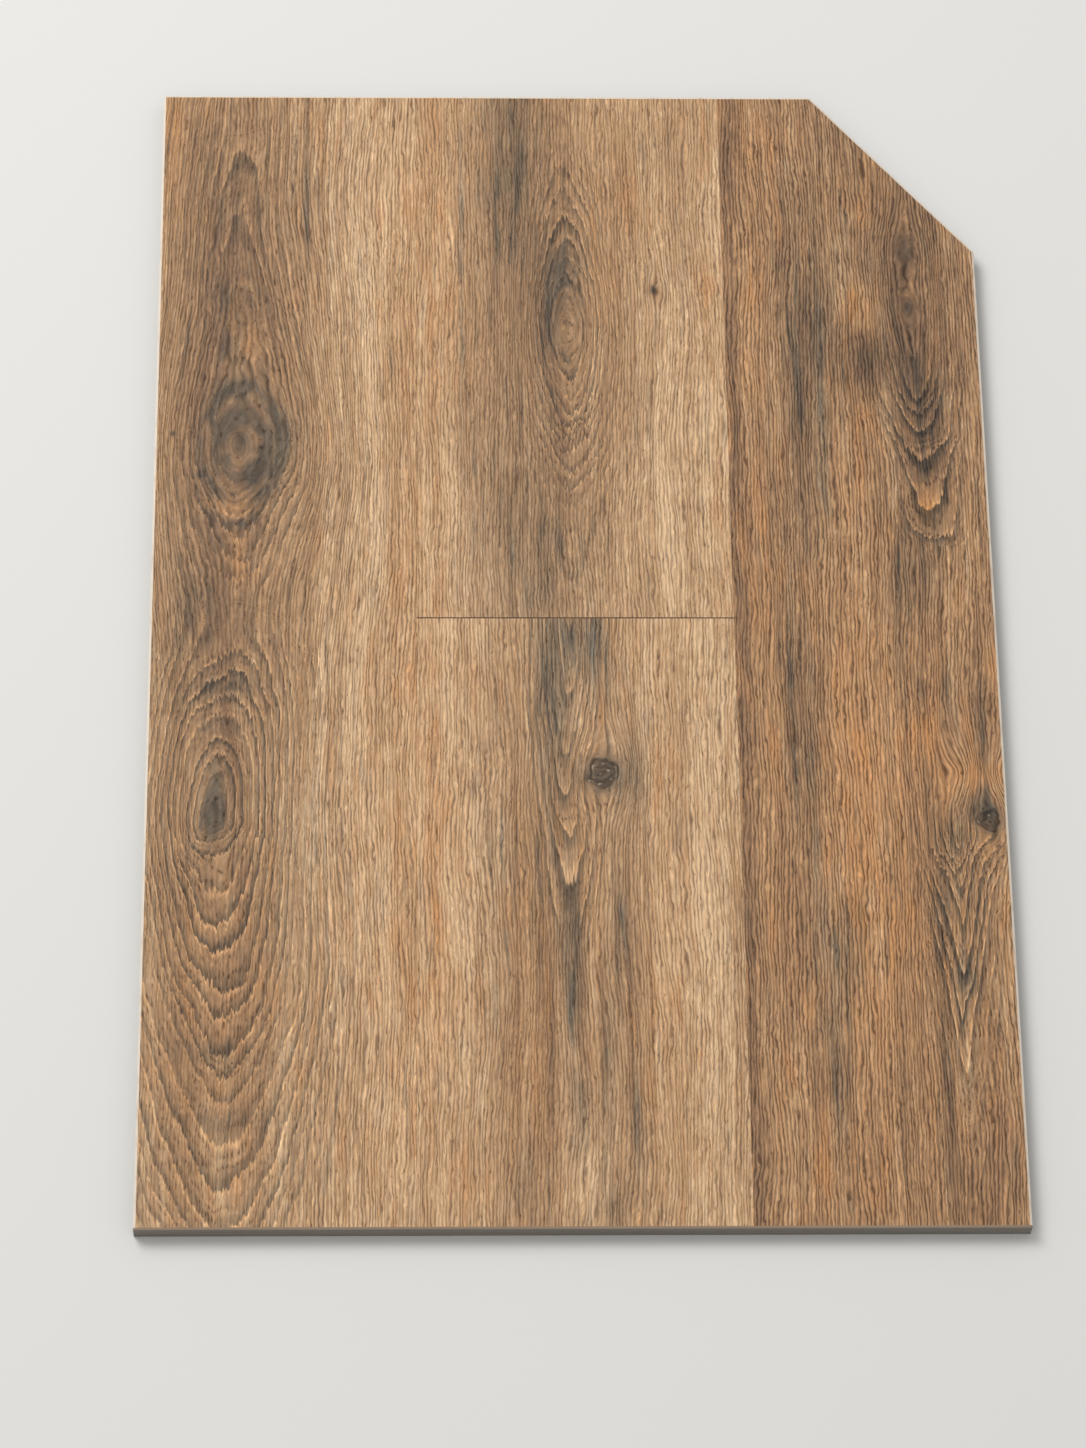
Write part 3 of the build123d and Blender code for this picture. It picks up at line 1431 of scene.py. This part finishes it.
    def press_tree(self, finishes: dict[Side, bpy.types.Material]) -> bpy.types.GeometryNodeTree:
        """Geometry Nodes that press the grain into the wear face and lay on the finishes.

        Args:
            finishes: The material of each side.

        Returns:
            The tree, with the depth of the pressing as an input.
        """
        tree = bpy.data.node_groups.new("press_grain", "GeometryNodeTree")
        for name, way, kind in (("Geometry", "INPUT", "NodeSocketGeometry"),
                                ("Emboss Depth", "INPUT", "NodeSocketFloat"),
                                ("Geometry", "OUTPUT", "NodeSocketGeometry")):
            tree.interface.new_socket(name, in_out=way, socket_type=kind)
        sheet = NodeSheet(tree)
        inputs = sheet.node("NodeGroupInput").outputs
        free = sheet.node("GeometryNodeInputNamedAttribute", {"data_type": "FLOAT"}, {"Name": "pressed"})
        sunk = self.relief(sheet) * Field(sheet, free.outputs[0]) * Field(sheet, inputs["Emboss Depth"])
        offset = sheet.vector(0.0, 0.0, sunk * -1.0)
        shape = sheet.node("GeometryNodeSetPosition", None,
                           {"Geometry": inputs["Geometry"], "Offset": offset}).outputs[0]
        shape = sheet.node("GeometryNodeRealizeInstances", None, {0: shape}).outputs[0]
        finish = sheet.node("GeometryNodeInputNamedAttribute", {"data_type": "INT"}, {"Name": "finish"})
        number = Field(sheet, finish.outputs[0])
        for side, material in finishes.items():
            worn = sheet.calc("COMPARE", number, float(side.value), 0.5)
            shape = sheet.node("GeometryNodeSetMaterial", None,
                               {"Geometry": shape, "Selection": worn, "Material": material}).outputs[0]
        sheet.node("NodeGroupOutput", None, {"Geometry": shape})
        return tree

    def build(self) -> bpy.types.Object:
        """Builds the plank, presses its grain and dresses it.

        Returns:
            The finished piece.
        """
        finishes = {side: PrintedOak(board).material() for side, board in BOARDS.items()}
        finishes[Side.SEAM] = SeamShade().material()
        finishes[Side.BEVEL] = BevelPaint().material()
        finishes[Side.CORE] = FilledCore().material()
        finishes[Side.BACKING] = GripBacking().material()
        plank = self.slab()
        tree = self.press_tree(finishes)
        press = plank.modifiers.new("press", "NODES")
        press.node_group = tree
        depth = next(item for item in tree.interface.items_tree if item.name == "Emboss Depth")
        press[depth.identifier] = self.emboss_depth * MM
        graph = bpy.context.evaluated_depsgraph_get()
        mesh = bpy.data.meshes.new_from_object(plank.evaluated_get(graph), depsgraph=graph,
                                               preserve_all_data_layers=True)
        plank.modifiers.clear()
        plank.data = mesh
        mesh.set_sharp_from_angle(angle=math.radians(self.crease))
        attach(plank, BODY)
        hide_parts(NODE)
        return plank


@dataclass(frozen=True)
class Studio:
    """Floor, soft light and camera round the plank. Lengths here are metres."""

    floor_size: float = 6.0
    floor_roughness: float = 0.8
    sky: float = 0.55
    key_place: tuple[float, float, float] = (-0.9, 0.9, 1.6)
    key_size: float = 1.1
    key_power: float = 26.0
    eye: tuple[float, float, float] = (-0.0425, -0.5898, 1.1459)
    target: tuple[float, float, float] = (-0.0087, -0.0285, 0.005)
    roll: float = 3.08
    lens: float = 118.2
    sensor: float = 36.0

    def lay_floor(self) -> bpy.types.Object:
        """Lays a plain pale floor under the plank.

        Returns:
            The floor.
        """
        half = self.floor_size / 2
        mesh = bpy.data.meshes.new("floor")
        mesh.from_pydata([(-half, -half, 0), (half, -half, 0), (half, half, 0), (-half, half, 0)],
                         [], [(0, 1, 2, 3)])
        finish = {"Base Color": Ink.FLOOR.value, "Roughness": self.floor_roughness}
        mesh.materials.append(Surface("floor").finish(finish))
        floor = bpy.data.objects.new("floor", mesh)
        bpy.context.scene.collection.objects.link(floor)
        return floor

    def light(self) -> None:
        """Hangs one large soft lamp at the back left under an even white sky."""
        world = bpy.data.worlds.new("sky")
        world.use_nodes = True
        backdrop = world.node_tree.nodes["Background"]
        backdrop.inputs["Color"].default_value = (1.0, 1.0, 1.0, 1.0)
        backdrop.inputs["Strength"].default_value = self.sky
        bpy.context.scene.world = world
        lamp = bpy.data.lights.new("key", "AREA")
        lamp.energy = self.key_power
        lamp.size = self.key_size
        key = bpy.data.objects.new("key", lamp)
        key.location = self.key_place
        key.rotation_euler = (-Vector(self.key_place)).to_track_quat("-Z", "Y").to_euler()
        bpy.context.scene.collection.objects.link(key)

    def place_camera(self) -> bpy.types.Object:
        """Sets the camera where the plank was photographed from.

        Returns:
            The camera.
        """
        data = bpy.data.cameras.new("camera")
        data.lens = self.lens
        data.sensor_width = self.sensor
        camera = bpy.data.objects.new("camera", data)
        look = Vector(self.target) - Vector(self.eye)
        turn = look.to_track_quat("-Z", "Y").to_matrix().to_4x4()
        roll = Matrix.Rotation(math.radians(self.roll), 4, "Z")
        camera.matrix_world = Matrix.Translation(self.eye) @ turn @ roll
        bpy.context.scene.collection.objects.link(camera)
        bpy.context.scene.camera = camera
        return camera


def main() -> None:
    """Builds the plank and its studio."""
    logging.basicConfig(level=logging.INFO, format="%(name)s: %(message)s")
    bpy.context.scene.view_settings.view_transform = "Standard"
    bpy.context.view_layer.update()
    low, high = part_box(NODE)
    width, length, thickness = ((b - a) / MM for a, b in zip(low, high))
    plank = VinylPlank(width=width, length=length, thickness=thickness).build()
    log.info("%s: %d faces", plank.name, len(plank.data.polygons))
    studio = Studio()
    log.info("%s laid", studio.lay_floor().name)
    studio.light()
    log.info("%s placed", studio.place_camera().name)


if __name__ == "__main__":
    main()
